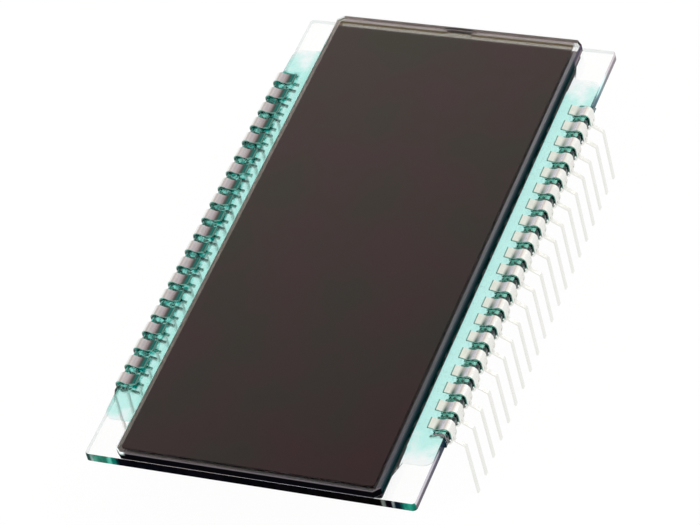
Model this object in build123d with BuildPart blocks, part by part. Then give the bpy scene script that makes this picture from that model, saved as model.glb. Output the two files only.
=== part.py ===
from build123d import *
from math import atan2, degrees, radians, tan

# Segment liquid crystal display in a dual in-line form: a glass cell with forty stamped
# edge-clip pins in two rows. X runs along the length, towards the fill port, Y across the
# pin rows and Z up out of the viewing face. The origin lies on the plane of the pin tips,
# below the middle of the cell.

# Glass cell: a narrow front plate on a wide rear plate, flush at both short ends
cell_length = 69.85
rear_width = 38.10
ledge_width = 3.81
rear_thickness = 1.10
front_thickness = 1.10
rear_corner_radius = 0.50
front_corner_cut = 0.70
arris = 0.10

# Layers in the cell, drawn thicker than the few micrometres of a real one
cell_gap = 0.08
film = 0.02
seal_width = 0.65
seal_margin = 0.10
port_width = 3.00

# Plug of adhesive in the fill port and its bead on the end of the cell
plug_depth = 0.50
bead_width = 4.40
bead_height = 1.50
bead_proud = 0.35
bead_shoulder = 0.90
bead_crown = 0.55

# Polarizer films, the front one set a little towards the closed end
polarizer_thickness = 0.20
polarizer_corner = 0.30
front_polarizer_end_margin = 0.90
front_polarizer_margin = 0.74
front_polarizer_shift = -0.33
rear_polarizer_end_margin = 0.775
rear_polarizer_margin = 4.10

# Pin rows, with the rear glass held stand_off above the pin tips
pins_per_row = 20
pin_pitch = 2.54
stand_off = 8.63

# Head of a stamped clip pin
strip = 0.20
head_width = 1.42
edge_gap = 0.275
bow_radius = 0.55
bow_rise = 0.57
contact_reach = 1.05
rib_radius = 0.20
rib_height = 0.22
jaw_reach = 2.12
flare_angle = 13

# Leg of a clip pin, which springs a little outwards
leg_width = 0.45
slot_width = 0.15
slot_top = 0.85
fold_drop = 0.54
shoulder_angle = 31.4
knee_offset = 1.52
splay_angle = 1.3
bend_radius = 0.30
tip_chamfer = 0.06

# Digits and the clear conductors that reach them
digits = 4
pads_per_digit = 5
digit_margin = 5.99
digit_width = 8.60
bar_width = 1.90
bar_gap = 0.36
point_diameter = 1.30
lead_width = 0.14
pad_width = 1.50
pad_length = 2.90
dot_radius = 0.45
dot_clearance = 1.40

# Resin over the contact ledges: a coat that thins out to its ends, a longer meniscus on the
# side of the front glass, and a bank along the glass edge, between and around the clips
coat = 0.14
coat_end = 0.03
coat_fade = 4.50
coat_overrun = 5.50
coat_end_radius = 1.20
meniscus_overrun = 7.40
meniscus_height = 0.80
meniscus_width = 0.60
meniscus_radius = 0.90
bank_height = 0.38
bank_reach = 1.55
bank_proud = 0.30
bank_overrun = 2.00
bank_fade = 0.90
wrap_depth = 0.75
collar_width = 0.10
collar_reach = 0.35

# Levels and places that follow from the sizes above
rear_bottom = stand_off
rear_top = rear_bottom + rear_thickness
front_bottom = rear_top + cell_gap
front_top = front_bottom + front_thickness
cell_end = cell_length / 2
front_width = rear_width - 2 * ledge_width
seal_outer_length = cell_length - 2 * seal_margin
seal_outer_width = front_width - 2 * seal_margin
fill_length = seal_outer_length - 2 * seal_width
fill_width = seal_outer_width - 2 * seal_width
front_polarizer_length = cell_length - 2 * front_polarizer_end_margin
front_polarizer_width = front_width - 2 * front_polarizer_margin
rear_polarizer_length = cell_length - 2 * rear_polarizer_end_margin
rear_polarizer_width = rear_width - 2 * rear_polarizer_margin
digit_height = fill_width - 2 * digit_margin
pin_places = [(i - (pins_per_row - 1) / 2) * pin_pitch for i in range(pins_per_row)]
digit_pitch = pads_per_digit * pin_pitch
digit_places = [(i - (digits - 1) / 2) * digit_pitch for i in range(digits)]


# Rear glass, the wide plate that carries the contact ledges
with BuildPart() as rear_glass:
    with BuildSketch(Plane.XY.offset(rear_bottom)):
        RectangleRounded(cell_length, rear_width, rear_corner_radius)
    extrude(amount=rear_thickness)
    rims = rear_glass.faces().filter_by(Axis.Z).edges()
    chamfer(rims, arris)
rear_glass.part.label = "rear_glass"
export_step(rear_glass.part, "parts/rear_glass.step")

# Front glass, with its corners nipped off
with BuildPart() as front_glass:
    with BuildSketch(Plane.XY.offset(front_bottom)) as front_plan:
        Rectangle(cell_length, front_width)
        chamfer(front_plan.vertices(), front_corner_cut)
    extrude(amount=front_thickness)
    rims = front_glass.faces().filter_by(Axis.Z).edges()
    chamfer(rims, arris)
front_glass.part.label = "front_glass"
export_step(front_glass.part, "parts/front_glass.step")


# Clear conductors on the rear glass: a pad under each clip, seven bars and a point to each
# digit, and a lead from each bar to its pad
bar_x = (digit_width - bar_width) / 2
bar_y = (digit_height - bar_width) / 2
bar_end = bar_width / 2
point_x = digit_pitch / 2
pad_y = rear_width / 2 - pad_length / 2
side_x = 2 * pin_pitch
inner_x = bar_x - bar_end - bar_gap
outer_x = (bar_x + bar_end + side_x) / 2
step_y = bar_y + 2 * bar_end


def bar(length):
    """One bar of a digit, lying along X, with mitred ends."""
    half = length / 2
    return [
        (-half, 0),
        (bar_end - half, bar_end),
        (half - bar_end, bar_end),
        (half, 0),
        (half - bar_end, -bar_end),
        (bar_end - half, -bar_end),
    ]


def lead(*points):
    """One conductor of even width through the points."""
    with BuildLine() as path:
        Polyline(*points)
    trace(path.line, lead_width)


def digit_leads(x):
    """The leads of the digit at x, out to the pads on both ledges."""
    lead((x - side_x, pad_y), (x - side_x, bar_y / 2), (x - bar_x, bar_y / 2))
    lead(
        (x - pin_pitch, pad_y),
        (x - pin_pitch, step_y),
        (x - bar_x - bar_end, bar_y + bar_end),
        (x - inner_x, bar_y - bar_x + inner_x),
        (x - inner_x, 0),
    )
    lead((x, pad_y), (x, bar_y))
    lead((x + side_x, pad_y), (x + side_x, bar_y / 2), (x + bar_x, bar_y / 2))
    lead((x - side_x, -pad_y), (x - side_x, -bar_y / 2), (x - bar_x, -bar_y / 2))
    lead((x, -pad_y), (x, -bar_y))
    lead(
        (x + pin_pitch, -pad_y),
        (x + pin_pitch, -step_y),
        (x + outer_x, -step_y),
        (x + outer_x, -bar_y / 2),
        (x + bar_x, -bar_y / 2),
    )
    lead((x + side_x, -pad_y), (x + side_x, -bar_y), (x + point_x, -bar_y))


dot_y = step_y + dot_clearance
dot_x = digit_places[-1] + pin_pitch
dot_places = [(dot_x, dot_y), (-dot_x, -dot_y)]

with BuildPart() as segment_electrodes:
    with BuildSketch(Plane.XY.offset(rear_top)):
        with Locations([(x, side * pad_y) for x in pin_places for side in (1, -1)]):
            Rectangle(pad_width, pad_length)
        for x in digit_places:
            with Locations((x, bar_y), (x, 0), (x, -bar_y)):
                Polygon(*bar(2 * bar_x - bar_gap))
            uprights = [(x + i * bar_x, j * bar_y / 2) for i in (1, -1) for j in (1, -1)]
            with Locations(uprights):
                Polygon(*bar(bar_y - bar_gap), rotation=90)
            with Locations((x + point_x, -bar_y)):
                Circle(point_diameter / 2)
            digit_leads(x)
        with Locations(dot_places):
            Circle(dot_radius)
        for x, y in dot_places:
            lead((x, y), (x, pad_y if y > 0 else -pad_y))
    extrude(amount=film)
segment_electrodes.part.label = "segment_electrodes"
export_step(segment_electrodes.part, "parts/segment_electrodes.step")

# Common electrode, one clear sheet under the front glass
with BuildPart() as common_electrode:
    with BuildSketch(Plane.XY.offset(front_bottom - film)):
        Rectangle(fill_length, fill_width)
    extrude(amount=film)
common_electrode.part.label = "common_electrode"
export_step(common_electrode.part, "parts/common_electrode.step")

# Transfer dots, which join the common electrode to two of the pads
with BuildPart() as transfer_dots:
    with BuildSketch(Plane.XY.offset(rear_top + film)):
        with Locations(dot_places):
            Circle(dot_radius)
    extrude(amount=cell_gap - 2 * film)
transfer_dots.part.label = "transfer_dots"
export_step(transfer_dots.part, "parts/transfer_dots.step")

# Perimeter seal: a printed ring, cut off at the corners like the front glass and turned out to
# the end of the cell on both sides of the port
with BuildPart() as perimeter_seal:
    lip_length = seal_margin + seal_width - arris
    with BuildSketch(Plane.XY.offset(rear_top)) as seal_plan:
        Rectangle(seal_outer_length, seal_outer_width)
        chamfer(seal_plan.vertices(), front_corner_cut)
        Rectangle(fill_length, fill_width, mode=Mode.SUBTRACT)
        with Locations((cell_end - arris - lip_length / 2, 0)):
            Rectangle(lip_length, port_width + 2 * seal_width)
            Rectangle(lip_length, port_width, mode=Mode.SUBTRACT)
    extrude(amount=cell_gap)
    add(segment_electrodes.part, mode=Mode.SUBTRACT)
perimeter_seal.part.label = "perimeter_seal"
export_step(perimeter_seal.part, "parts/perimeter_seal.step")

# End plug: a tongue of adhesive in the port and a low bead across the ends of both plates
with BuildPart() as end_plug:
    bead_middle = (rear_top + front_bottom) / 2
    bead_plane = Plane((cell_end, 0, bead_middle), x_dir=(0, 1, 0), z_dir=(1, 0, 0))
    with BuildSketch(bead_plane):
        Ellipse(bead_width / 2, bead_height / 2)
    with BuildSketch(bead_plane.offset(bead_proud / 2)):
        Ellipse(bead_width / 2 * bead_shoulder, bead_height / 2 * bead_shoulder)
    with BuildSketch(bead_plane.offset(bead_proud)):
        Ellipse(bead_width / 2 * bead_crown, bead_height / 2 * bead_crown)
    loft()
    with BuildSketch(bead_plane):
        Rectangle(port_width, cell_gap)
    extrude(amount=-plug_depth)
end_plug.part.label = "end_plug"
export_step(end_plug.part, "parts/end_plug.step")

# Liquid crystal, which fills the cell and the port as far as the plug
with BuildPart() as liquid_crystal:
    channel = seal_margin + seal_width - plug_depth
    with BuildSketch(Plane.XY.offset(rear_top)):
        Rectangle(fill_length, fill_width)
    extrude(amount=cell_gap - film)
    with BuildSketch(Plane.XY.offset(rear_top)):
        with Locations((fill_length / 2 + channel / 2, 0)):
            Rectangle(channel, port_width)
    extrude(amount=cell_gap)
    add(segment_electrodes.part, mode=Mode.SUBTRACT)
    add(transfer_dots.part, mode=Mode.SUBTRACT)
liquid_crystal.part.label = "liquid_crystal"
export_step(liquid_crystal.part, "parts/liquid_crystal.step")

# Polarizer films on the outer faces of both plates
with BuildPart() as front_polarizer:
    with BuildSketch(Plane.XY.offset(front_top)):
        with Locations((front_polarizer_shift, 0)):
            RectangleRounded(front_polarizer_length, front_polarizer_width, polarizer_corner)
    extrude(amount=polarizer_thickness)
front_polarizer.part.label = "front_polarizer"
export_step(front_polarizer.part, "parts/front_polarizer.step")

with BuildPart() as rear_polarizer:
    with BuildSketch(Plane.XY.offset(rear_bottom)):
        RectangleRounded(rear_polarizer_length, rear_polarizer_width, polarizer_corner)
    extrude(amount=-polarizer_thickness)
rear_polarizer.part.label = "rear_polarizer"
export_step(rear_polarizer.part, "parts/rear_polarizer.step")


# Stamped clip pin. Its section is drawn with the glass edge at u = 0, u outwards, and the
# top of the rear glass at w = 0. A wide head clips over the glass edge with one jaw above the
# ledge and two prongs below it, each with a coined rib that makes the contact. The tongue
# between the prongs folds outwards and down into the leg
back_u = edge_gap + strip / 2
bow_u = back_u - bow_radius
bow_w = bow_rise - bow_radius
slot_w = -slot_top
fold_w = -rear_thickness - fold_drop
knee_w = fold_w - (knee_offset - back_u) * tan(radians(shoulder_angle))
leg_end_w = -rear_top - strip
leg_end_u = knee_offset + (knee_w - leg_end_w) * tan(radians(splay_angle))


def jaw_line(seat, face, up, reach):
    """Centreline of a jaw, from the clip's back to a point on its flare. Its rib presses on
    the layer seat thick on the glass face, from above (up = 1) or below (up = -1)."""
    across = bow_u + contact_reach
    rise = seat + rib_height + strip / 2 - bow_w
    press_radius = (across**2 + rise**2 - bow_radius**2) / (2 * (bow_radius - rise))
    bow_turn = 180 - degrees(atan2(rise + press_radius, across))
    press_turn = bow_turn - 90 + flare_angle
    bow = JernArc((back_u, face + up * bow_w), (0, up), bow_radius, up * bow_turn)
    press = JernArc(bow @ 1, bow % 1, press_radius, -up * press_turn)
    flare_run = (reach + (press @ 1).X) / abs((press % 1).X)
    return Line(press @ 1, press @ 1 + (press % 1) * flare_run)


with BuildPart() as clip_pin:
    with BuildSketch(Plane.YZ) as head_section:
        with BuildLine() as head_line:
            jaw_line(film, 0, 1, jaw_reach)
            Line((back_u, bow_w), (back_u, -rear_thickness - bow_w))
            jaw_line(0, -rear_thickness, -1, jaw_reach)
        trace(head_line.line, strip)
        with Locations((-contact_reach, film + rib_radius)):
            Circle(rib_radius)
        with Locations((-contact_reach, -rear_thickness - rib_radius)):
            Circle(rib_radius)
    extrude(amount=head_width / 2, both=True)

    # The slots part the lower half of the head into prong, tongue and prong
    slot_reach = jaw_reach + back_u + 2 * strip
    slot_length = rear_thickness + bow_rise + strip + slot_w
    with Locations((0, (back_u - jaw_reach) / 2, slot_w - slot_length / 2)):
        Box(leg_width + 2 * slot_width, slot_reach, slot_length, mode=Mode.SUBTRACT)

    # Tongue and leg, cut level at the tip
    with BuildSketch(Plane.YZ) as leg_section:
        with BuildLine() as leg_line:
            FilletPolyline(
                (back_u, slot_w + strip),
                (back_u, fold_w),
                (knee_offset, knee_w),
                (leg_end_u, leg_end_w),
                radius=bend_radius,
            )
        trace(leg_line.line, strip)
    extrude(amount=leg_width / 2, both=True)
    split(bisect_by=Plane.XY.offset(-rear_top))
    chamfer(clip_pin.faces().sort_by(Axis.Z)[0].edges(), tip_chamfer)

# The pins, numbered along the one row and back along the other
pin_seats = [Location((x, -rear_width / 2, rear_top), (0, 0, 180)) for x in pin_places]
pin_seats += [Location((x, rear_width / 2, rear_top)) for x in reversed(pin_places)]
for number, seat in enumerate(pin_seats, start=1):
    with BuildPart() as pin:
        with Locations(seat):
            add(clip_pin.part)
    pin.part.label = f"pin_{number:02d}"
    export_step(pin.part, f"parts/{pin.part.label}.step")

# Resin on one ledge, in the same section as the pins. A collar round each clip wets the
# strip's edges up to their middle and fills the space between the strip and the glass
with BuildPart() as collar:
    with BuildSketch(Plane.YZ):
        with BuildLine() as collar_line:
            flare = jaw_line(film, 0, 1, contact_reach + collar_reach)
            Polyline(flare @ 1, (-bank_reach, 0), (0, 0), (0, -wrap_depth))
            Polyline((0, -wrap_depth), (back_u, -wrap_depth), (back_u, bow_w))
        make_face()
    extrude(amount=head_width / 2 + collar_width, both=True)

with BuildPart() as bank:
    bank_end = pin_places[-1] + bank_overrun
    with BuildSketch(Plane.YZ) as bank_section:
        with BuildLine():
            Polyline((0, 0), (-bank_reach, 0), (-contact_reach, bank_height))
            Polyline((-contact_reach, bank_height), (0, bank_height), (bank_proud, 0))
            Polyline((bank_proud, 0), (bank_proud, -wrap_depth), (0, -wrap_depth), (0, 0))
        make_face()
        fillet(bank_section.vertices().group_by(Axis.Y)[-1], bank_height / 2)
    extrude(amount=bank_end, both=True)
    with BuildSketch(Plane.XZ):
        with BuildLine():
            Polyline(
                (bank_end, -wrap_depth),
                (bank_end - bank_fade, bank_height),
                (bank_fade - bank_end, bank_height),
                (-bank_end, -wrap_depth),
                close=True,
            )
        make_face()
    extrude(amount=ledge_width, both=True, mode=Mode.INTERSECT)

with BuildPart() as ledge_resin:
    coat_end_x = pin_places[-1] + coat_overrun
    with BuildSketch() as coat_plan:
        with Locations((0, -ledge_width / 2)):
            Rectangle(2 * coat_end_x, ledge_width)
        fillet(coat_plan.vertices().group_by(Axis.Y)[-1], coat_end_radius)
    extrude(amount=coat)
    with BuildSketch(Plane.XZ):
        with BuildLine():
            Polyline((0, 0), (coat_end_x, 0), (coat_end_x, coat_end))
            Polyline((coat_end_x, coat_end), (coat_end_x - coat_fade, coat), (0, coat), (0, 0))
        make_face()
        mirror(about=Plane.YZ)
    extrude(amount=ledge_width, both=True, mode=Mode.INTERSECT)
    with BuildSketch(Plane.YZ):
        with BuildLine():
            crest = (-ledge_width, meniscus_height)
            foot = (meniscus_width - ledge_width, 0)
            RadiusArc(crest, foot, -meniscus_radius)
            Polyline(foot, (-ledge_width, 0), crest)
        make_face()
    extrude(amount=pin_places[-1] + meniscus_overrun, both=True)
    add(bank.part)
    with Locations([(x, 0, 0) for x in pin_places]):
        add(collar.part)
    with Locations([(x, 0, 0) for x in pin_places]):
        add(clip_pin.part, mode=Mode.SUBTRACT)

for name, side, turn in (("resin_left", 1, 0), ("resin_right", -1, 180)):
    with BuildPart() as resin:
        with Locations(Location((0, side * rear_width / 2, rear_top), (0, 0, turn))):
            add(ledge_resin.part)
        add(segment_electrodes.part, mode=Mode.SUBTRACT)
    resin.part.label = name
    export_step(resin.part, f"parts/{name}.step")
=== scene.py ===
import bmesh
import bpy
from mathutils import Matrix, Vector


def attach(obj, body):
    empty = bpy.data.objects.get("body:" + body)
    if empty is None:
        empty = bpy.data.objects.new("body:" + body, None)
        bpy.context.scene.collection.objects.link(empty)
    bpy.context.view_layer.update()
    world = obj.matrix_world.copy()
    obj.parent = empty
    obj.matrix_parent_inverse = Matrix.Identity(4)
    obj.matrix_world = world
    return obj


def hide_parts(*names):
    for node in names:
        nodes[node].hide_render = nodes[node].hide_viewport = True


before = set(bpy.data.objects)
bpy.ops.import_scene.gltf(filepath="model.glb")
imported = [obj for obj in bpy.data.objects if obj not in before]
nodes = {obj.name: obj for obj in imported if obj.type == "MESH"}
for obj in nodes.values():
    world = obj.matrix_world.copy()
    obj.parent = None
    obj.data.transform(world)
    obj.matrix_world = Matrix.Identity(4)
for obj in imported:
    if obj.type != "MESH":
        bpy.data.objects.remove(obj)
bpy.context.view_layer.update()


# Rear glass: a plate of thin float glass, scored and snapped to size, with its long rims ground
# back by a light arris. It carries every conductor, and both ledges stand out past the front glass.

MM = 0.001


def limits(node, axis):
    """Lowest and highest place of a CAD node along an axis, in millimetres."""
    places = [getattr(vertex.co, axis) / MM for vertex in nodes[node].data.vertices]
    return round(min(places), 3), round(max(places), 3)


def new_finish(name):
    """An empty material, its node tree and its Principled shader."""
    material = bpy.data.materials.new(name)
    material.use_nodes = True
    tree = material.node_tree
    return material, tree, tree.nodes["Principled BSDF"]


def mottle_group():
    """A node group of noise in the object's own coordinates."""
    group = bpy.data.node_groups.new("mottle", "ShaderNodeTree")
    for name, kind in (("Scale", "Float"), ("Detail", "Float"), ("Stretch", "Vector")):
        group.interface.new_socket(name, in_out="INPUT", socket_type="NodeSocket" + kind)
    group.interface.new_socket("Mask", in_out="OUTPUT", socket_type="NodeSocketFloat")
    given = group.nodes.new("NodeGroupInput")
    made = group.nodes.new("NodeGroupOutput")
    place = group.nodes.new("ShaderNodeTexCoord")
    mapping = group.nodes.new("ShaderNodeMapping")
    pattern = group.nodes.new("ShaderNodeTexNoise")
    group.links.new(place.outputs["Object"], mapping.inputs["Vector"])
    group.links.new(given.outputs["Stretch"], mapping.inputs["Scale"])
    group.links.new(mapping.outputs["Vector"], pattern.inputs["Vector"])
    group.links.new(given.outputs["Scale"], pattern.inputs["Scale"])
    group.links.new(given.outputs["Detail"], pattern.inputs["Detail"])
    group.links.new(pattern.outputs["Fac"], made.inputs["Mask"])
    return group


mottle = mottle_group()


def noise(tree, scale, detail=2.0, stretch=(1, 1, 1)):
    """The mottle group placed in a material, with scale features to the metre."""
    placed = tree.nodes.new("ShaderNodeGroup")
    placed.node_tree = mottle
    placed.inputs["Scale"].default_value = scale
    placed.inputs["Detail"].default_value = detail
    placed.inputs["Stretch"].default_value = stretch
    return placed.outputs["Mask"]


def calc(tree, operation, first, second=0.0):
    """A sum, product or the like of two values, each a number or a socket."""
    sums = tree.nodes.new("ShaderNodeMath")
    sums.operation = operation
    for socket, value in zip(sums.inputs, (first, second)):
        if isinstance(value, float):
            socket.default_value = value
        else:
            tree.links.new(value, socket)
    return sums.outputs["Value"]


def overlap(tree, *masks):
    """The product of masks, which is full where all of them are."""
    whole = masks[0]
    for mask in masks[1:]:
        whole = calc(tree, "MULTIPLY", whole, mask)
    return whole


def spread(tree, value, low, high, start=0.3, end=0.7):
    """A value from low to high as the input goes from start to end."""
    span = tree.nodes.new("ShaderNodeMapRange")
    span.inputs["From Min"].default_value = start
    span.inputs["From Max"].default_value = end
    span.inputs["To Min"].default_value = low
    span.inputs["To Max"].default_value = high
    tree.links.new(value, span.inputs["Value"])
    return span.outputs["Result"]


def rise(tree, value, start, end):
    """A mask that goes from 0 at start to 1 at end."""
    return spread(tree, value, 0.0, 1.0, start, end)


def fall(tree, value, start, end):
    """A mask that goes from 1 at start to 0 at end."""
    return spread(tree, value, 1.0, 0.0, start, end)


def along(tree, axis):
    """One of the object's own coordinates, in millimetres."""
    place = tree.nodes.new("ShaderNodeTexCoord")
    split = tree.nodes.new("ShaderNodeSeparateXYZ")
    tree.links.new(place.outputs["Object"], split.inputs["Vector"])
    return calc(tree, "DIVIDE", split.outputs[axis], MM)


def aside(tree, axis):
    """Distance from the middle of the object along an axis, in millimetres."""
    return calc(tree, "ABSOLUTE", along(tree, axis))


def on_left(tree):
    """A mask of the left half of the object, with a soft edge 2 mm wide in the middle."""
    return rise(tree, along(tree, "Y"), -1.0, 1.0)


def blend(tree, value, first, second):
    """A colour between two, each a colour or a socket, by a mask."""
    mix = tree.nodes.new("ShaderNodeMix")
    mix.data_type = "RGBA"
    tree.links.new(value, mix.inputs["Factor"])
    for name, colour in (("A", first), ("B", second)):
        if isinstance(colour, tuple):
            mix.inputs[name].default_value = (*colour, 1)
        else:
            tree.links.new(colour, mix.inputs[name])
    return mix.outputs["Result"]


def ramp(tree, value, *stops):
    """Colours along a value, each stop a place with its colour, from the first to the last."""
    scale = tree.nodes.new("ShaderNodeValToRGB")
    start, end = stops[0][0], stops[-1][0]
    for place, colour in stops:
        at = (place - start) / (end - start)
        if 0.0 < at < 1.0:
            stop = scale.color_ramp.elements.new(at)
        else:
            stop = scale.color_ramp.elements[-int(at)]
        stop.position = at
        stop.color = (*colour, 1)
    tree.links.new(rise(tree, value, start, end), scale.inputs["Fac"])
    return scale.outputs["Color"]


def bump(tree, height, shader, distance):
    """A relief of the given depth in metres."""
    relief = tree.nodes.new("ShaderNodeBump")
    relief.inputs["Strength"].default_value = 1.0
    relief.inputs["Distance"].default_value = distance
    tree.links.new(height, relief.inputs["Height"])
    tree.links.new(relief.outputs["Normal"], shader.inputs["Normal"])


def absorb(tree, colour, density):
    """Colour that deepens with the length of the way through a clear body."""
    body = tree.nodes.new("ShaderNodeVolumeAbsorption")
    body.inputs["Color"].default_value = (*colour, 1)
    body.inputs["Density"].default_value = density
    tree.links.new(body.outputs["Volume"], tree.nodes["Material Output"].inputs["Volume"])


def joined_copy(node, name, finish, move):
    """A new piece in place of a CAD node, with its loose triangles merged into one skin. It is
    moved by a few hundredths of a millimetre at most, so that no face lies in a neighbour's."""
    skin = bmesh.new()
    skin.from_mesh(nodes[node].data)
    bmesh.ops.remove_doubles(skin, verts=skin.verts, dist=0.002 * MM)
    bmesh.ops.translate(skin, verts=skin.verts, vec=[MM * step for step in move])
    data = bpy.data.meshes.new(name)
    skin.to_mesh(data)
    skin.free()
    data.materials.append(finish)
    piece = bpy.data.objects.new(name, data)
    bpy.context.collection.objects.link(piece)
    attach(piece, "root")
    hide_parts(node)
    return piece


def cut_faces(plate, *finishes):
    """Finishes for the snapped faces of a plate: near end and nips, right side, far end, left side."""
    flat = 0.9
    slanted = 0.35
    for finish in finishes:
        plate.data.materials.append(finish)
    for face in plate.data.polygons:
        x, y, z = face.normal
        if abs(z) >= flat:
            continue
        if x < -slanted:
            face.material_index = 1
        elif y < -slanted:
            face.material_index = 2
        elif x > abs(y):
            face.material_index = 3
        else:
            face.material_index = 4


def dress(material, *names):
    """Gives CAD nodes their finish."""
    for name in names:
        for slot in nodes[name].material_slots:
            slot.material = material


half_length = limits("rear_glass", "x")[1]
half_width = limits("rear_glass", "y")[1]
rear_top = limits("rear_glass", "z")[1]

plate_glass, tree, shader = new_finish("plate_glass")
shader.inputs["IOR"].default_value = 1.52
shader.inputs["Transmission Weight"].default_value = 1.0
colour = blend(tree, noise(tree, 90), (0.985, 1.0, 0.995), (1, 1, 1))
tree.links.new(colour, shader.inputs["Base Color"])
tree.links.new(spread(tree, noise(tree, 700), 0.0, 0.015), shader.inputs["Roughness"])
absorb(tree, (0.72, 0.95, 0.89), 12.0)

# The snapped ends carry painted light: the teal that the plate leads along from under the resin, with
# grey painted reflections and black painted shade between
rear_end, tree, shader = new_finish("rear_glass_end")
painted_end_light = ramp(tree, along(tree, "Y"),
           (-half_width, (0.01, 0.16, 0.12)), (-18.6, (0.04, 0.42, 0.31)), (-17.9, (0.02, 0.25, 0.19)),
           (-17.6, (0.005, 0.13, 0.11)), (-17.35, (0.004, 0.01, 0.02)), (-16.75, (0.004, 0.01, 0.02)),
           (-16.66, (0.24, 0.26, 0.27)), (-16.5, (0.24, 0.26, 0.27)), (-16.4, (0.004, 0.002, 0.006)),
           (-15.75, (0.004, 0.002, 0.004)), (-15.6, (0.18, 0.19, 0.18)), (-15.35, (0.18, 0.19, 0.18)),
           (-15.2, (0.003, 0.002, 0.002)), (14.9, (0.003, 0.003, 0.006)), (15.2, (0.005, 0.03, 0.04)),
           (15.4, (0.003, 0.15, 0.11)), (15.8, (0.01, 0.22, 0.17)), (16.0, (0.16, 0.60, 0.48)),
           (16.25, (0.10, 0.45, 0.35)), (16.5, (0.02, 0.17, 0.12)), (17.2, (0.04, 0.22, 0.16)),
           (18.0, (0.09, 0.30, 0.23)), (18.25, (0.50, 0.56, 0.54)), (18.45, (0.10, 0.15, 0.13)),
           (18.75, (0.06, 0.09, 0.08)), (18.85, (0.50, 0.55, 0.53)), (half_width, (0.60, 0.62, 0.62)))
fracture = spread(tree, noise(tree, 1300, 2, (1, 1, 0.6)), 0.0, 1.0)
darkened = tree.nodes.new("ShaderNodeMix")
darkened.data_type = "RGBA"
darkened.blend_type = "MULTIPLY"
darkened.inputs["Factor"].default_value = 1.0
tree.links.new(painted_end_light, darkened.inputs["A"])
tree.links.new(blend(tree, fracture, (0.25, 0.45, 0.42), (1.0, 1.0, 1.0)), darkened.inputs["B"])
tree.links.new(darkened.outputs["Result"], shader.inputs["Base Color"])
shader.inputs["Roughness"].default_value = 0.5
shader.inputs["Specular IOR Level"].default_value = 0.0

rear_side, tree, shader = new_finish("rear_glass_side")
# The sides are painted with reflections and shade, in a lower and an upper band, each changing along
# the plate
lower = ramp(tree, along(tree, "X"),
             (-half_length, (0.085, 0.07, 0.085)), (-28.0, (0.05, 0.045, 0.075)),
             (-27.2, (0.003, 0.01, 0.03)), (-25.0, (0.004, 0.02, 0.04)), (-24.0, (0.01, 0.08, 0.07)),
             (24.5, (0.01, 0.08, 0.07)), (25.5, (0.03, 0.08, 0.11)), (27.5, (0.05, 0.11, 0.14)),
             (29.0, (0.14, 0.21, 0.23)), (30.5, (0.16, 0.16, 0.18)), (half_length, (0.20, 0.17, 0.19)))
upper = ramp(tree, along(tree, "X"),
             (-half_length, (0.50, 0.48, 0.52)), (-27.8, (0.35, 0.34, 0.40)),
             (-27.0, (0.006, 0.015, 0.04)), (-24.8, (0.01, 0.03, 0.05)), (24.8, (0.04, 0.10, 0.12)),
             (27.0, (0.10, 0.20, 0.23)), (28.0, (0.42, 0.70, 0.70)), (30.0, (0.60, 0.75, 0.76)),
             (31.5, (0.50, 0.47, 0.50)), (half_length, (0.46, 0.42, 0.45)))
colour = blend(tree, rise(tree, along(tree, "Z"), 9.28, 9.5), lower, upper)
tree.links.new(colour, shader.inputs["Base Color"])
shader.inputs["Roughness"].default_value = 0.4
shader.inputs["Specular IOR Level"].default_value = 0.1

pale_rim, tree, shader = new_finish("pale_rim")
colour = blend(tree, noise(tree, 400), (0.80, 0.81, 0.82), (0.90, 0.91, 0.92))
tree.links.new(colour, shader.inputs["Base Color"])
shader.inputs["Roughness"].default_value = 0.4
shader.inputs["Alpha"].default_value = 0.22
rear_plate = joined_copy("rear_glass", "rear_plate", plate_glass, (0, 0, 0))
cut_faces(rear_plate, rear_end, rear_side, pale_rim, pale_rim)


# Clear conductors: a film of indium tin oxide on the glass, etched into bars, points, leads and
# the pads under the clips. It shows only as a faint grey tint.

conductor, tree, shader = new_finish("conductor_film")
colour = blend(tree, noise(tree, 400), (0.20, 0.22, 0.20), (0.26, 0.26, 0.24))
tree.links.new(colour, shader.inputs["Base Color"])
shader.inputs["Roughness"].default_value = 0.1
shader.inputs["Alpha"].default_value = 0.012
joined_copy("segment_electrodes", "etched_conductors", conductor, (0, 0, -0.011))
joined_copy("common_electrode", "common_film", conductor, (0, 0, 0.011))


# Perimeter seal: a ring of epoxy printed round the cell and cured under pressure, with dots of
# silver paste that carry the common electrode down to the rear glass.

rear_film_end = limits("rear_polarizer", "x")[1]

seal_epoxy, tree, shader = new_finish("seal_epoxy")
# The seal's tone is painted light and shade: darker at the near end, brighter towards the far end, and
# browner on the left than on the right
right = ramp(tree, along(tree, "X"), (-half_length, (0.27, 0.27, 0.33)), (-10.0, (0.34, 0.41, 0.44)),
             (half_length, (0.75, 0.75, 0.82)))
left = ramp(tree, along(tree, "X"), (-half_length, (0.40, 0.35, 0.34)), (-15.0, (0.42, 0.37, 0.31)),
            (half_length, (0.62, 0.52, 0.52)))
painted_seal_light = blend(tree, on_left(tree), right, left)
# Past the rear film's end the seal is lit from below
far_side = blend(tree, rise(tree, along(tree, "X"), 34.3, 34.7), (0.16, 0.10, 0.07), (0.62, 0.50, 0.46))
colour = blend(tree, rise(tree, along(tree, "X"), rear_film_end, 34.2), painted_seal_light, far_side)
tree.links.new(colour, shader.inputs["Base Color"])
shader.inputs["Roughness"].default_value = 0.5
opacity = spread(tree, along(tree, "X"), 0.97, 0.5, 34.3, 34.6)
# Near the far right corner the seal turns see-through, which paints a highlight there
near_right = fall(tree, along(tree, "Y"), -14.3, -13.9)
corner_highlight = overlap(tree, near_right, spread(tree, along(tree, "X"), 0.0, 0.9, 33.2, 33.5))
tree.links.new(overlap(tree, opacity, calc(tree, "SUBTRACT", 1.0, corner_highlight)), shader.inputs["Alpha"])
joined_copy("perimeter_seal", "seal_ring", seal_epoxy, (0, 0, 0.01))

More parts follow.
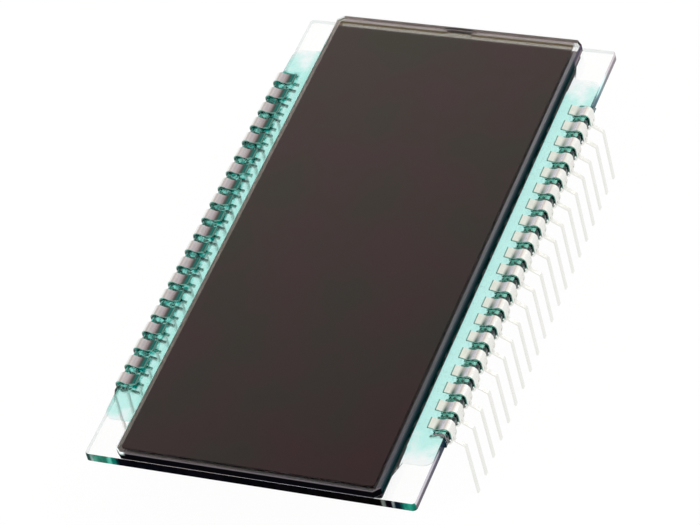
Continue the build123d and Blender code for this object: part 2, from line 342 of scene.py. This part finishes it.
silver_paste, tree, shader = new_finish("silver_paste")
colour = blend(tree, noise(tree, 6000, 4), (0.010, 0.009, 0.009), (0.016, 0.014, 0.014))
tree.links.new(colour, shader.inputs["Base Color"])
shader.inputs["Roughness"].default_value = 0.45
dress(silver_paste, "transfer_dots")


# Liquid crystal: the thin fluid layer between the plates, clear until a bar is driven.

crystal, tree, shader = new_finish("liquid_crystal_fill")
colour = blend(tree, noise(tree, 120), (0.05, 0.05, 0.06), (0.07, 0.07, 0.07))
tree.links.new(colour, shader.inputs["Base Color"])
shader.inputs["Roughness"].default_value = 0.2
shader.inputs["Alpha"].default_value = 0.04
joined_copy("liquid_crystal", "crystal_layer", crystal, (0, 0, 0.005))


# Front glass: the narrower plate, with its four corners nipped off so that the sealed edges
# can't chip.

foot, crest = limits("front_glass", "z")
wall = limits("front_glass", "y")[1]

front_end, tree, shader = new_finish("front_glass_end")
# The near end is painted: grey highlights along its bottom and top rims with black painted shade
# between, and on the left nip black painted shade below a pale painted glint
rims = ramp(tree, along(tree, "Z"),
            (foot, (0.09, 0.085, 0.095)), (9.90, (0.09, 0.085, 0.095)), (9.94, (0.002, 0.002, 0.003)),
            (10.79, (0.002, 0.002, 0.003)), (10.82, (0.11, 0.10, 0.11)), (crest, (0.11, 0.10, 0.11)))
left_nip_light = ramp(tree, along(tree, "Z"),
                (foot, (0.002, 0.002, 0.003)), (10.45, (0.002, 0.002, 0.003)),
                (10.6, (0.30, 0.36, 0.35)), (10.8, (0.72, 0.86, 0.83)), (crest, (0.80, 0.92, 0.90)))
colour = blend(tree, rise(tree, along(tree, "Y"), 13.9, 14.2), rims, left_nip_light)
tree.links.new(colour, shader.inputs["Base Color"])
shader.inputs["Roughness"].default_value = 0.5
shader.inputs["Specular IOR Level"].default_value = 0.0

front_side, tree, shader = new_finish("front_glass_side")
# The right side is painted with reflections and shade: dark teal bands with a paler band, a mauve
# painted reflection towards the far end, and a dark purple painted reflection on the far nip
side_reflection = ramp(tree, along(tree, "Z"),
            (foot, (0.0, 0.012, 0.012)), (10.30, (0.002, 0.02, 0.022)), (10.45, (0.025, 0.038, 0.046)),
            (10.6, (0.004, 0.012, 0.016)), (10.75, (0.03, 0.045, 0.055)), (crest, (0.04, 0.06, 0.07)))
far_side_reflection = ramp(tree, along(tree, "Z"),
                (foot, (0.20, 0.17, 0.20)), (10.30, (0.22, 0.19, 0.215)), (10.5, (0.06, 0.053, 0.08)),
                (crest, (0.09, 0.08, 0.11)))
side = blend(tree, rise(tree, along(tree, "X"), 31.2, 31.6), side_reflection, far_side_reflection)
far_nip_reflection = blend(tree, noise(tree, 600), (0.020, 0.008, 0.018), (0.035, 0.018, 0.032))
colour = blend(tree, rise(tree, along(tree, "X"), 33.9, 34.1), side, far_nip_reflection)
tree.links.new(colour, shader.inputs["Base Color"])
shader.inputs["Roughness"].default_value = 0.4
shader.inputs["Specular IOR Level"].default_value = 0.0

front_far, tree, shader = new_finish("front_glass_far_end")
# The far end is painted as a reflection: pink-cream, paler towards its top
colour = ramp(tree, along(tree, "Z"), (foot, (0.62, 0.50, 0.49)), (10.3, (0.74, 0.62, 0.62)),
              (10.6, (0.80, 0.72, 0.68)), (crest, (0.90, 0.84, 0.78)))
tree.links.new(colour, shader.inputs["Base Color"])
shader.inputs["Roughness"].default_value = 0.5

front_left, tree, shader = new_finish("front_glass_left_side")
# The left side is painted: brown below, for the seal seen through the glass, and a painted glint along
# its top
seen_seal = blend(tree, noise(tree, 300), (0.62, 0.56, 0.50), (0.74, 0.66, 0.60))
glint = blend(tree, noise(tree, 300), (0.93, 1.0, 0.98), (1.0, 1.0, 1.0))
colour = blend(tree, rise(tree, along(tree, "Z"), 10.2, 10.3), seen_seal, glint)
tree.links.new(colour, shader.inputs["Base Color"])
shader.inputs["Roughness"].default_value = 0.5
tree.links.new(spread(tree, along(tree, "Z"), 1.0, 0.25, 10.2, 10.35), shader.inputs["Alpha"])
front_plate = joined_copy("front_glass", "front_plate", plate_glass, (0, 0, 0))
cut_faces(front_plate, front_end, front_side, front_far, front_left)


# End plug: clear adhesive drawn a little way into the fill port and wiped off as a low bead.

plug_adhesive, tree, shader = new_finish("plug_adhesive")
colour = blend(tree, noise(tree, 900, 3), (0.30, 0.25, 0.28), (0.40, 0.34, 0.37))
tree.links.new(colour, shader.inputs["Base Color"])
shader.inputs["Roughness"].default_value = 0.22
shader.inputs["Transmission Weight"].default_value = 0.35
bump(tree, noise(tree, 1400), shader, 0.05 * MM)
dress(plug_adhesive, "end_plug")


# Polarizers: stretched dark film with its own adhesive, rolled on to both plates and trimmed
# just inside their rims.

lit_start = 32.86
lit_full = 32.96

front_film, tree, shader = new_finish("front_film")
# The film is painted with a reflection of the room: darker at the near right and lighter at the far
# left; the lit band at the far edge is painted light too
diagonal = calc(tree, "ADD", along(tree, "X"), along(tree, "Y"))
patch = spread(tree, noise(tree, 110), 0.0, 1.0)
near = blend(tree, patch, (0.014, 0.002, 0.004), (0.004, 0.005, 0.004))
far = blend(tree, patch, (0.037, 0.023, 0.023), (0.027, 0.026, 0.018))
film = blend(tree, rise(tree, diagonal, -50.0, 50.0), near, far)
lit = blend(tree, noise(tree, 200), (0.09, 0.07, 0.025), (0.12, 0.09, 0.035))
colour = blend(tree, rise(tree, along(tree, "X"), lit_start, lit_full), film, lit)
tree.links.new(colour, shader.inputs["Base Color"])
tree.links.new(spread(tree, noise(tree, 160), 0.09, 0.13), shader.inputs["Roughness"])
shader.inputs["Specular IOR Level"].default_value = 0.40
# Past the rear film's far edge the light comes through
opacity = spread(tree, along(tree, "X"), 0.92, 0.47, lit_start, lit_full)
tree.links.new(opacity, shader.inputs["Alpha"])
bump(tree, noise(tree, 500, 1), shader, 0.002 * MM)
joined_copy("front_polarizer", "front_film", front_film, (0, 0, -0.01))

rear_film, tree, shader = new_finish("rear_film")
colour = blend(tree, noise(tree, 60), (0.003, 0.003, 0.003), (0.005, 0.005, 0.005))
tree.links.new(colour, shader.inputs["Base Color"])
shader.inputs["Roughness"].default_value = 0.25
joined_copy("rear_polarizer", "rear_film", rear_film, (0, 0, 0.01))


# Clip pins: bright tinned strip, stamped and folded, each one pushed over the glass edge.

clip_pitch = 2.54
half_pitch = clip_pitch / 2
# A whole number of pitches, which keeps the places along a row above zero
offset = 50 * clip_pitch

tinned, tree, shader = new_finish("tinned_strip")
row = aside(tree, "Y")
height = along(tree, "Z")
shifted = calc(tree, "ADD", along(tree, "X"), offset)
left_half = on_left(tree)
right_half = calc(tree, "SUBTRACT", 1.0, left_half)
plated = blend(tree, noise(tree, 900, 3), (0.80, 0.80, 0.76), (0.90, 0.89, 0.86))

# Painted reflections on the upper jaw: a greener tone on its tip, and mauve on the slope behind it
tip_reflection = blend(tree, noise(tree, 1600, 4), (0.64, 0.70, 0.63), (0.84, 0.86, 0.80))
skin = blend(tree, fall(tree, row, 17.70, 17.80), plated, tip_reflection)
slope = overlap(tree, rise(tree, row, 18.1, 18.3), fall(tree, row, 18.55, 18.75))
slope_reflection = blend(tree, noise(tree, 900, 3), (0.62, 0.60, 0.65), (0.74, 0.72, 0.76))
skin = blend(tree, slope, skin, slope_reflection)

# Resin that wets the top of the right row's clips
across = calc(tree, "SUBTRACT", calc(tree, "FLOORED_MODULO", shifted, clip_pitch), half_pitch)
pool = overlap(tree, rise(tree, row, 17.62, 17.95), fall(tree, row, 18.02, 18.5),
               spread(tree, across, 1.0, 0.45, -0.5, 0.35), rise(tree, height, 9.9, 10.0), right_half)
wetted = ramp(tree, along(tree, "X"), (-25.0, (0.06, 0.20, 0.155)), (0.0, (0.09, 0.24, 0.20)),
              (25.0, (0.30, 0.46, 0.41)))
skin = blend(tree, pool, skin, wetted)

# The left row's heads are turned from the light, painted as shade, and their jaws sit in resin, with
# painted shade under them
left_top = overlap(tree, left_half, rise(tree, height, 9.7, 9.8))
shaded = blend(tree, noise(tree, 900, 3), (0.40, 0.37, 0.39), (0.50, 0.465, 0.48))
skin = blend(tree, overlap(tree, left_top, fall(tree, row, 18.5, 19.1)), skin, shaded)
soaked_and_shaded = ramp(tree, row, (16.9, (0.0, 0.15, 0.12)), (17.35, (0.01, 0.17, 0.14)),
              (17.6, (0.06, 0.08, 0.065)), (18.0, (0.22, 0.20, 0.19)))
skin = blend(tree, overlap(tree, left_top, fall(tree, row, 17.75, 18.05)), skin, soaked_and_shaded)

# Cut sides of the heads, teal with resin over them and painted as shade; the left row's legs; and a
# line of painted shade at the tips of the upper jaws
from_gap = calc(tree, "PINGPONG", shifted, half_pitch)
cut_side = overlap(tree, fall(tree, from_gap, 0.560, 0.565), rise(tree, height, 8.6, 8.9))
resin_shaded_edge = blend(tree, noise(tree, 900, 3), (0.18, 0.42, 0.35), (0.26, 0.52, 0.44))
skin = blend(tree, cut_side, skin, resin_shaded_edge)
leg = overlap(tree, spread(tree, along(tree, "Y"), 0.0, 0.8, -1.0, 1.0), fall(tree, height, 8.2, 8.5))
faint = blend(tree, noise(tree, 900, 3), (0.92, 0.92, 0.91), (0.97, 0.97, 0.96))
skin = blend(tree, leg, skin, faint)
jaw_tip_shade = overlap(tree, fall(tree, row, 17.03, 17.10), rise(tree, height, 9.7, 9.75))
tip_shade_line = blend(tree, noise(tree, 900, 3), (0.055, 0.15, 0.12), (0.09, 0.21, 0.175))
tree.links.new(blend(tree, jaw_tip_shade, skin, tip_shade_line), shader.inputs["Base Color"])
unmetallic = calc(tree, "MAXIMUM", calc(tree, "MAXIMUM", cut_side, jaw_tip_shade), leg)
tree.links.new(fall(tree, unmetallic, 0.0, 1.0), shader.inputs["Metallic"])
tree.links.new(spread(tree, noise(tree, 1800, 3), 0.16, 0.30), shader.inputs["Roughness"])
bump(tree, noise(tree, 2500, 2), shader, 0.01 * MM)
dress(tinned, *sorted(name for name in nodes if name.startswith("pin_")))


# Ledge resin: teal resin run along each ledge and round the clips, then set by ultraviolet
# light. It is clear, and darker where it is thick.

ledge_resin, tree, shader = new_finish("teal_resin")
shader.inputs["IOR"].default_value = 1.5
shader.inputs["Transmission Weight"].default_value = 1.0
shader.inputs["Roughness"].default_value = 0.05
row = aside(tree, "Y")
left_half = on_left(tree)
right_half = calc(tree, "SUBTRACT", 1.0, left_half)

# The coat clears towards its ends, a little later at the near left
thin = blend(tree, noise(tree, 300), (0.55, 0.89, 0.845), (0.62, 0.92, 0.88))
clear = blend(tree, noise(tree, 260, 3), (0.90, 0.94, 0.95), (1, 1, 1))
ragged = calc(tree, "ADD", aside(tree, "X"), spread(tree, noise(tree, 420, 4), -2.2, 2.2))
near_left = overlap(tree, left_half, fall(tree, along(tree, "X"), -1.0, 1.0))
clearing = rise(tree, calc(tree, "SUBTRACT", ragged, near_left), 26.0, 29.0)
ledge = blend(tree, clearing, thin, clear)

# Along the front glass it is vivid on the left and dark on the right
vivid = blend(tree, noise(tree, 300), (0.36, 0.82, 0.73), (0.46, 0.87, 0.80))
ledge = blend(tree, overlap(tree, fall(tree, row, 15.5, 16.6), left_half), ledge, vivid)
shadow = blend(tree, noise(tree, 300), (0.0, 0.02, 0.022), (0.0, 0.03, 0.032))
ledge = blend(tree, overlap(tree, fall(tree, row, 15.40, 15.52), right_half), ledge, shadow)

# The bank round the clips is painted dark as shade, with a painted highlight along its outer side
bank_shade = blend(tree, noise(tree, 900), (0.055, 0.28, 0.22), (0.11, 0.39, 0.31))
bank_highlight = blend(tree, noise(tree, 900), (0.30, 0.60, 0.50), (0.40, 0.70, 0.60))
bank = overlap(tree, rise(tree, row, 17.50, 17.85), fall(tree, aside(tree, "X"), 24.9, 25.5))
tone = blend(tree, bank, ledge, blend(tree, rise(tree, row, 18.5, 18.8), bank_shade, bank_highlight))

# Lumpy resin under and round the left row's jaws
lumps = spread(tree, noise(tree, 1100, 2), 0.0, 1.0, 0.42, 0.58)
puddle = blend(tree, lumps, (0.0, 0.20, 0.17), (0.30, 0.80, 0.72))
shore = overlap(tree, rise(tree, row, 16.7, 17.0), fall(tree, aside(tree, "X"), 25.0, 26.0), left_half)
tone = blend(tree, shore, tone, puddle)

# A dark arc of painted shade on the far side of each clip
arc_shade = blend(tree, noise(tree, 900), (0.0, 0.11, 0.09), (0.02, 0.18, 0.15))
from_middle = calc(tree, "ADD", along(tree, "X"), offset - half_pitch)
past_clip = calc(tree, "FLOORED_MODULO", from_middle, clip_pitch)
arc = overlap(tree, fall(tree, past_clip, 0.95, 1.1), rise(tree, row, 17.45, 17.8),
              fall(tree, aside(tree, "X"), 25.2, 25.3), fall(tree, row, 18.4, 18.6))
tree.links.new(blend(tree, arc, tone, arc_shade), shader.inputs["Base Color"])
absorb(tree, (0.02, 0.88, 0.80), 700.0)

taper_start = 31.0
kept_width = 0.15
kept_height = 0.3
for side, inward in (("left", -0.01), ("right", 0.01)):
    resin = joined_copy("resin_" + side, "ledge_resin_" + side, ledge_resin,
                        (0, inward, -0.025))
    # The meniscus narrows and sinks at its ends
    for point in resin.data.vertices:
        if abs(point.co.x) > taper_start * MM:
            reach = abs(point.co.y) - wall * MM
            point.co.y = (wall * MM + kept_width * reach) * (1 if point.co.y > 0 else -1)
            point.co.z = rear_top * MM + kept_height * (point.co.z - rear_top * MM)


# Studio: a plain white floor and backdrop, a soft white room and two broad lamps

floor_mesh = bmesh.new()
bmesh.ops.create_grid(floor_mesh, x_segments=1, y_segments=1, size=2.0)
floor_data = bpy.data.meshes.new("floor")
floor_mesh.to_mesh(floor_data)
floor_mesh.free()
floor = bpy.data.objects.new("floor", floor_data)
bpy.context.collection.objects.link(floor)

# The floor glows evenly where it is looked at, straight, in a reflection or through glass
floor_paint, tree, shader = new_finish("floor_paint")
shader.inputs["Base Color"].default_value = (0.9, 0.9, 0.9, 1)
shader.inputs["Roughness"].default_value = 0.9
floor_glow = tree.nodes.new("ShaderNodeEmission")
path = tree.nodes.new("ShaderNodeLightPath")
through = path.outputs["Is Transmission Ray"]
seen = calc(tree, "MAXIMUM", path.outputs["Is Camera Ray"], path.outputs["Is Glossy Ray"])
seen = calc(tree, "MAXIMUM", seen, through)
tree.links.new(spread(tree, through, 1.0, 1.04, 0.0, 1.0), floor_glow.inputs["Strength"])
mixed = tree.nodes.new("ShaderNodeMixShader")
tree.links.new(calc(tree, "MULTIPLY", seen, 0.97), mixed.inputs["Fac"])
tree.links.new(shader.outputs["BSDF"], mixed.inputs[1])
tree.links.new(floor_glow.outputs["Emission"], mixed.inputs[2])
tree.links.new(mixed.outputs["Shader"], tree.nodes["Material Output"].inputs["Surface"])
floor.data.materials.append(floor_paint)

world = bpy.data.worlds.new("studio")
bpy.context.scene.world = world
world.use_nodes = True
tree = world.node_tree
white = (1.0, 1.0, 1.0)
coordinates = tree.nodes.new("ShaderNodeTexCoord")
split = tree.nodes.new("ShaderNodeSeparateXYZ")
tree.links.new(coordinates.outputs["Generated"], split.inputs["Vector"])
walls = ramp(tree, split.outputs["Y"],
             (-1.0, (1.0, 0.99, 0.96)), (0.08, (1.0, 0.98, 0.95)), (0.26, (0.74, 0.62, 0.58)),
             (0.44, (0.66, 0.56, 0.54)), (0.60, (0.46, 0.44, 0.47)), (1.0, (0.42, 0.42, 0.46)))
room = blend(tree, fall(tree, split.outputs["Z"], 0.25, 0.75), walls, white)
path = tree.nodes.new("ShaderNodeLightPath")
sky = blend(tree, path.outputs["Is Camera Ray"], room, white)
tree.links.new(sky, tree.nodes["Background"].inputs["Color"])


def lamp(name, place, size, watts):
    """A square soft lamp that faces the middle of the object."""
    light = bpy.data.lights.new(name, "AREA")
    light.shape = "SQUARE"
    light.size = size
    light.energy = watts
    holder = bpy.data.objects.new(name, light)
    holder.location = place
    holder.rotation_euler = (-Vector(place)).to_track_quat("-Z", "Y").to_euler()
    bpy.context.collection.objects.link(holder)


lamp("key_lamp", (0.2, -0.7, 0.9), 0.6, 6.0)
lamp("fill_lamp", (-0.8, 0.5, 0.7), 0.5, 3.0)


# Camera, where the photograph was taken from

camera_place = Vector((-0.25808, -0.15177, 0.29381))
view_line = Vector((0.6212, 0.3695, -0.6911)).normalized()
picture_up = Vector((0.7054, 0.1205, 0.6985))
picture_right = view_line.cross(picture_up).normalized()
picture_up = picture_right.cross(view_line)
lens = bpy.data.cameras.new("camera")
lens.sensor_width = 36.0
lens.lens = 191.74
lens.clip_start = 0.01
camera = bpy.data.objects.new("camera", lens)
turn = Matrix((picture_right, picture_up, -view_line)).transposed().to_4x4()
camera.matrix_world = Matrix.Translation(camera_place) @ turn
bpy.context.collection.objects.link(camera)
bpy.context.scene.camera = camera
bpy.context.scene.view_settings.view_transform = "Standard"
